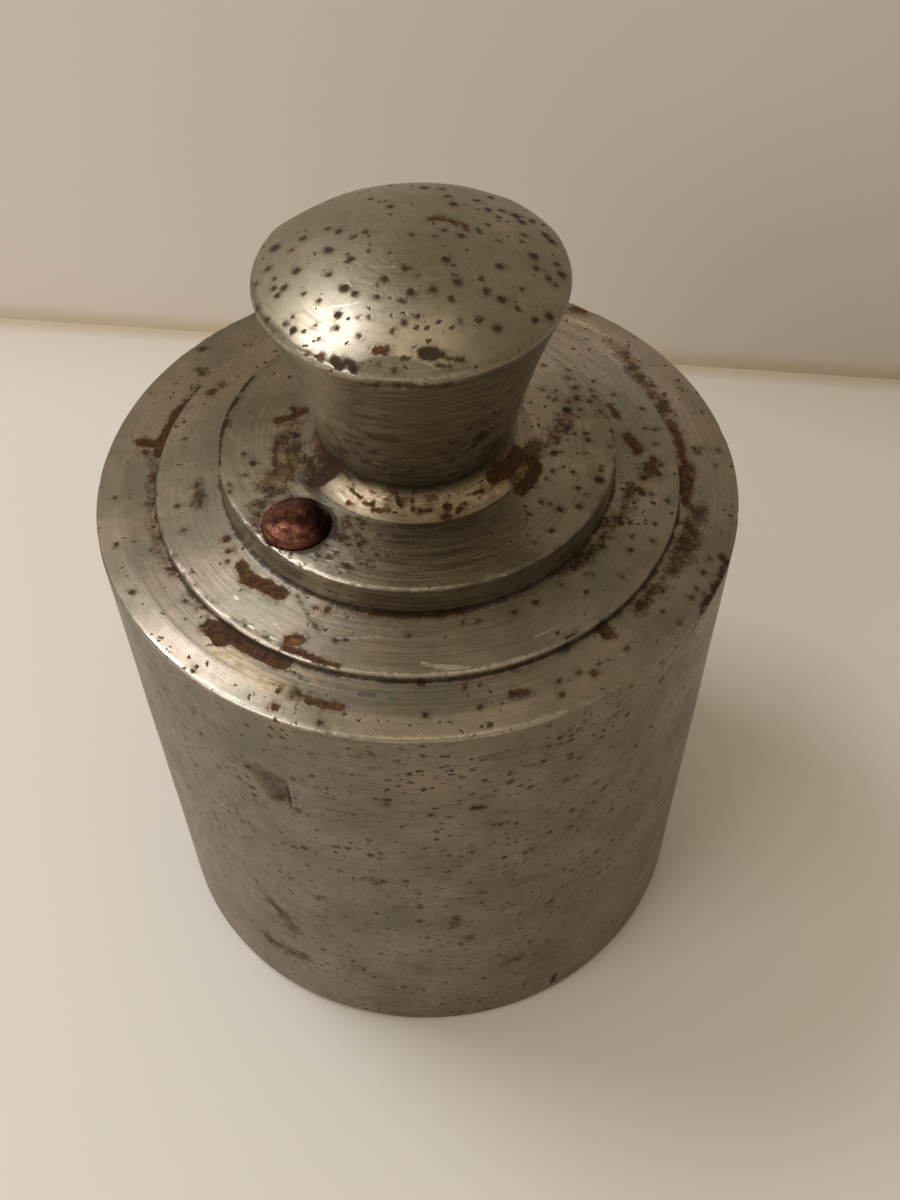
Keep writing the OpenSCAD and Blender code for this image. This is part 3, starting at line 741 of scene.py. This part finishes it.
# drops have flattened the crown's edge: a long low dent at the back, a chord at the front, and a lip at
# the right. A blow is its direction, its tilt, and how deep it has pressed the edge's arc in, as measured
# from a middle on the axis
KNOCK_MIDDLE = (0, 0, 66)
blows = []
for way in range(48, 151, 6):
    tilt = np.interp(way, [48, 80, 95, 130, 150], [50, 56, 57, 51, 41])
    deep = np.interp(way, [48, 60, 80, 110, 130, 142, 150], [0, 0.2, 0.27, 0.36, 0.38, 0.15, 0])
    blows.append((way, tilt, deep))
for way, tilt, deep in blows + [(-97, 48, 0.32), (-97, 0, 0.3), (-80, 30, 0.15)]:
    slope = math.radians(tilt)
    out = round_axis(math.cos(slope), way, math.sin(slope))
    edge_up = EDGE_MIDDLE[1] - KNOCK_MIDDLE[2]
    reach = EDGE_MIDDLE[0] * math.cos(slope) + edge_up * math.sin(slope) + EDGE_R - deep
    past = np.clip((spots - KNOCK_MIDDLE) @ out - reach, 0, None) * (height > 64)
    spots = spots - past[:, None] * out
way = heading(spots)
lip = 0.15 * np.exp(-((way - 17) / 12) ** 2) * np.clip(1 - np.abs(height - 72.4) / 1.2, 0, 1)
spots = spots + round_axis(lip, way, 0)
write_points(knob.data, spots)
note(knob.data, "rust", rust)
note(knob.data, "pits", pits)
note(knob.data, "film", inside(spots, flange_film, on_flange))
# painted shade, with some grime, lies at the taper's foot, on the flange's wall and in dashes along its
# front edge; a painted shadow lies beside the pin on the side away from the light, and painted shade
# where the taper meets the collar at the left
foot = np.clip(1 - np.abs(height - 58.9) / 3.2, 0, 1) ** 2 * np.clip(1.6 - np.abs(way + 95) / 60, 0, 1)
wall = (np.abs(radius - FLANGE_R) < 0.3) * (height < FLANGE_Z - 0.25) * 0.45
edge = np.clip(1 - edge_gap / 0.5, 0, 1) * (radius > 15) * np.clip((way + 112) / 12, 0, 1) * (way < 0)
edge *= np.clip(0.55 + 1.5 * ripple(spots, 0.9, 71), 0, 1)
from_pin = spots - round_axis(PIN_OUT, PIN_WAY, 0)
pin_gap = np.hypot(from_pin[:, 0], from_pin[:, 1]) - PIN_HEAD_R
lee = np.clip(from_pin @ (0.94, -0.34, 0) / PIN_HEAD_R, 0, 1) * (height < 57)
shade = np.clip(1 - pin_gap / 1.6, 0, 1) * lee
corner = 0.9 * np.clip(1.5 - np.abs(way + 150) / 10, 0, 1) * (radius < 10.5) * (height < 58.5)
note(knob.data, "shade_and_grime", np.clip(foot + wall + edge + shade + corner, 0, 1))
note(knob.data, "cream", inside(spots, collar_cream, on_flange))
note(knob.data, "blue", np.full(len(spots), -1.0))
# bright scratches on the crown, and painted glints on the collar and the flange
note(knob.data, "bright", np.maximum(
    inside(spots, crown_scratches, on_crown), inside(spots, flange_bright, on_flange)))
patchy = 0.2 * np.clip(ripple(spots, 0.8, 67), 0, 1) + 0.12 * np.clip((way + 108) / 12, 0, 1)
# a painted highlight, with some wear, along the crown's and the flange's edges at the front
note(knob.data, "wear_and_highlight", 0.28 * rubbed_and_lit(way, -105, 55) - patchy - edge_gap)
# dirt fills the seam at the flange's foot, and a painted shadow lies beside the pin on its side away from the
# light
note(knob.data, "crevice_and_shade", np.maximum(
    0.14 - np.hypot(radius - FLANGE_R, height - SEAT_Z),
    np.where(lee > 0, 0.05 + 0.45 * lee - np.abs(pin_gap), -1)))
knob.data.materials.clear()
knob.data.materials.append(
    old_steel("turned carbon steel of the knob", clean="#9b8d79", dull="#7e7561", roughness=0.34, drawn=0.27,
              dashes=0.0, pits_per_mm=0.8, pitted=0.0, grooved=0.75, shaded_heights=(59, 72)))
# the crown has been polished by fingers, which leaves no lines on it
CROWN_FROM_Z = 72.35
knob.data.materials.append(
    old_steel("handled carbon steel", clean="#9b907c", dull="#867c67", roughness=0.31, drawn=0.03,
              dashes=0.0, pits_per_mm=0.7, pitted=-0.14, grooved=0.0, shaded_heights=(59, 60)))
crown_faces = np.empty(len(knob.data.polygons) * 3)
knob.data.polygons.foreach_get("center", crown_faces)
knob.data.polygons.foreach_set("material_index", (crown_faces[2::3] / MM > CROWN_FROM_Z).astype(np.int32))
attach(knob, "root")
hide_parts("knob")

# The sealing pin is a length of soft copper rod, driven through the flange into the body and dressed to
# a low dome with a hollow punch, which has left rings in it. It locks the knob and carries the seal.
pin = turned("sealing_pin_dressed", [
    (0, PIN_END_Z + 0.2, 0, 1), (PIN_R, PIN_END_Z + 0.2, 0, 2), (PIN_R, FLANGE_Z - PIN_SINK, 0, 0.2),
    (PIN_HEAD_R, FLANGE_Z, 0, 0.1), (2.72, FLANGE_Z + 0.3, 0.15, 0.08), (2.3, FLANGE_Z + 0.54, 0.2, 0.08),
    (2.05, FLANGE_Z + 0.6, 0.16, 0.08), (1.7, FLANGE_Z + 0.74, 0.2, 0.08), (1.4, FLANGE_Z + 0.79, 0.18, 0.08),
    (0.9, FLANGE_Z + 0.9, 0.4, 0.08), (0, FLANGE_Z + 0.9, 0, 9),
], 120)
pin.data.transform(PIN_PLACE)
pin.data.shade_smooth()
spots, normals = read_points(pin.data)
proud = np.clip((spots[:, 2] - FLANGE_Z) / 0.3, 0, 1)
beaten = 0.05 * (1 + ripple(spots, 0.9, 2)) + 0.015 * (1 + ripple(spots, 2.6, 9))
write_points(pin.data, spots - normals * (proud * beaten)[:, None])
# painted shade: the pin's side away from the light is darker
away = (spots - round_axis(PIN_OUT, PIN_WAY, 0)) @ (0.95, 0.3, 0)
note(pin.data, "dull", np.clip(away / 2.1 + 0.15, 0, 1))

# soft copper with a brown oxide, blotched pink and dark brown; its side away from the light is painted
# darker, as painted shade
copper, add = new_material("oxidised copper")
place = millimetres(add)
blotch = add("TexNoise", {"Vector": place, "Scale": 1.1, "Detail": 4.0})[0]
grit = add("TexNoise", {"Vector": place, "Scale": 6.0, "Detail": 3.0})[0]
oxide = add("MapRange", (blotch, 0.35, 0.65))[0]
tone = add("Mix", {0: oxide, 6: paint("#784a39"), 7: paint("#3b2117")}, data_type="RGBA")[2]
# the dull mask is painted shade
dull = add("Math", (add("Attribute", attribute_name="dull")["Fac"], 0.85), operation="MULTIPLY")[0]
tone = add("Mix", {0: dull, 6: tone, 7: paint("#1c0d08")}, data_type="RGBA")[2]
rough = add("Math", (grit, 0.25, 0.24), operation="MULTIPLY_ADD")[0]
bump = add("Bump", {"Height": grit, "Distance": 0.03 * MM})[0]
surface = add("BsdfPrincipled", {"Base Color": tone, "Metallic": 1.0, "Roughness": rough, "Normal": bump})
add("OutputMaterial", (surface[0],))
pin.data.materials.append(copper)
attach(pin, "root")
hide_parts("sealing_pin")

# The adjusting load is lead shot, cast as small balls and poured in until the weight is true. Its grey
# skin is dull and faintly blotched. The CAD balls stay as they are.
lead, add = new_material("lead shot")
bloom = add("TexNoise", {"Vector": millimetres(add), "Scale": 1.2, "Detail": 4.0})[0]
tone = add("Mix", {0: bloom, 6: paint("#5c5f63"), 7: paint("#8d9094")}, data_type="RGBA")[2]
rough = add("Math", (bloom, 0.3, 0.4), operation="MULTIPLY_ADD")[0]
bump = add("Bump", {"Height": bloom, "Distance": 0.05 * MM})[0]
surface = add("BsdfPrincipled", {"Base Color": tone, "Metallic": 0.8, "Roughness": rough, "Normal": bump})
add("OutputMaterial", (surface[0],))
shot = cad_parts["adjusting_shot"]
shot.data.materials.clear()
shot.data.materials.append(lead)

# The weight stands on a pale cream floor close to a plain wall, which turns a little away from the
# picture. Both are open from behind. Four soft lamps stand at the left and above.
WALL_TURN = math.radians(-8.75)
WALL_Y = 78.8
WALL_H = 110
WALL_PLACE = (
    Matrix.Translation((0, WALL_Y * MM, 0)) @ Matrix.Rotation(WALL_TURN, 4, "Z")
    @ Matrix.Translation((0, 0, WALL_H / 2 * MM)) @ Matrix.Rotation(math.radians(90), 4, "X")
    @ Matrix.Diagonal((1, WALL_H * MM, 1, 1)))
SEAM = WALL_Y * math.cos(WALL_TURN)
for name, finish, half, place, code, soft in (
        ("floor", "pale floor", 1.5, Matrix.Identity(4), "#ded6c9", 3.5),
        ("wall", "plain wall", 0.5, WALL_PLACE, "#dad0c5", 3.0)):
    shape = bmesh.new()
    bmesh.ops.create_grid(shape, x_segments=1, y_segments=1, size=half, matrix=place)
    mesh = bpy.data.meshes.new(name)
    shape.to_mesh(mesh)
    shape.free()
    stand = bpy.data.objects.new(name, mesh)
    bpy.context.collection.objects.link(stand)
    matt, add = new_material(finish)
    # a soft beige shade lies where the floor meets the wall
    across = (-math.sin(WALL_TURN), math.cos(WALL_TURN), -0.8)
    away = add("VectorMath", (millimetres(add), across), operation="DOT_PRODUCT")["Value"]
    shade = add("MapRange", (away, SEAM - soft, SEAM - 0.5), **SMOOTH)[0]
    tone = add("Mix", {0: shade, 6: paint(code), 7: paint("#cfc1a8")}, data_type="RGBA")[2]
    plain = add("BsdfPrincipled", {"Base Color": tone, "Roughness": 0.6})[0]
    behind = add("NewGeometry")["Backfacing"]
    one_sided = add("MixShader", (behind, plain, add("BsdfTransparent")[0]))[0]
    add("OutputMaterial", (one_sided,))
    stand.data.materials.append(matt)

room = bpy.data.worlds.new("room")
room.use_nodes = True
room.node_tree.nodes["Background"].inputs["Color"].default_value = paint("#b9b0a1")
room.node_tree.nodes["Background"].inputs["Strength"].default_value = 0.82
bpy.context.scene.world = room


def lamp(name, place, watts, size, code):
    """A square soft lamp that faces the weight."""
    light = bpy.data.lights.new(name, "AREA")
    light.energy = watts
    light.size = size
    light.color = paint(code)[:3]
    holder = bpy.data.objects.new(name, light)
    holder.location = place
    holder.rotation_euler = (Vector((0, 0, 0.05)) - Vector(place)).to_track_quat("-Z", "Y").to_euler()
    bpy.context.collection.objects.link(holder)


lamp("key", (-0.2, 0.09, 0.4), 0.76, 0.14, "#edf3ff")
lamp("window", (-0.27, -0.2, 0.2), 0.52, 0.22, "#f6f6fa")
lamp("back left", (-0.35, 0.42, 0.42), 0.29, 0.4, "#fffcfa")
lamp("top", (0, -0.02, 0.5), 0.14, 0.22, "#fff3d8")

# The camera stands where the photograph was taken, and looks down on the weight. Its lens, place and
# turns were worked out from the circles of the weight as the photograph shows them.
camera_data = bpy.data.cameras.new("camera")
camera_data.sensor_width = 36
camera_data.lens = 39.528
camera = bpy.data.objects.new("camera", camera_data)
CAMERA_DOWN, CAMERA_TURN, CAMERA_ROLL = (math.radians(a) for a in (50.762, 1.892, -0.556))
camera.matrix_world = (
    Matrix.Translation((0, -79.09 * MM, 131.74 * MM)) @ Matrix.Rotation(-CAMERA_TURN, 4, "Z")
    @ Matrix.Rotation(math.radians(90) - CAMERA_DOWN, 4, "X") @ Matrix.Rotation(CAMERA_ROLL, 4, "Z"))
camera_data.clip_start = 0.01
bpy.context.collection.objects.link(camera)
bpy.context.scene.camera = camera

scene = bpy.context.scene
scene.view_settings.view_transform = "Standard"
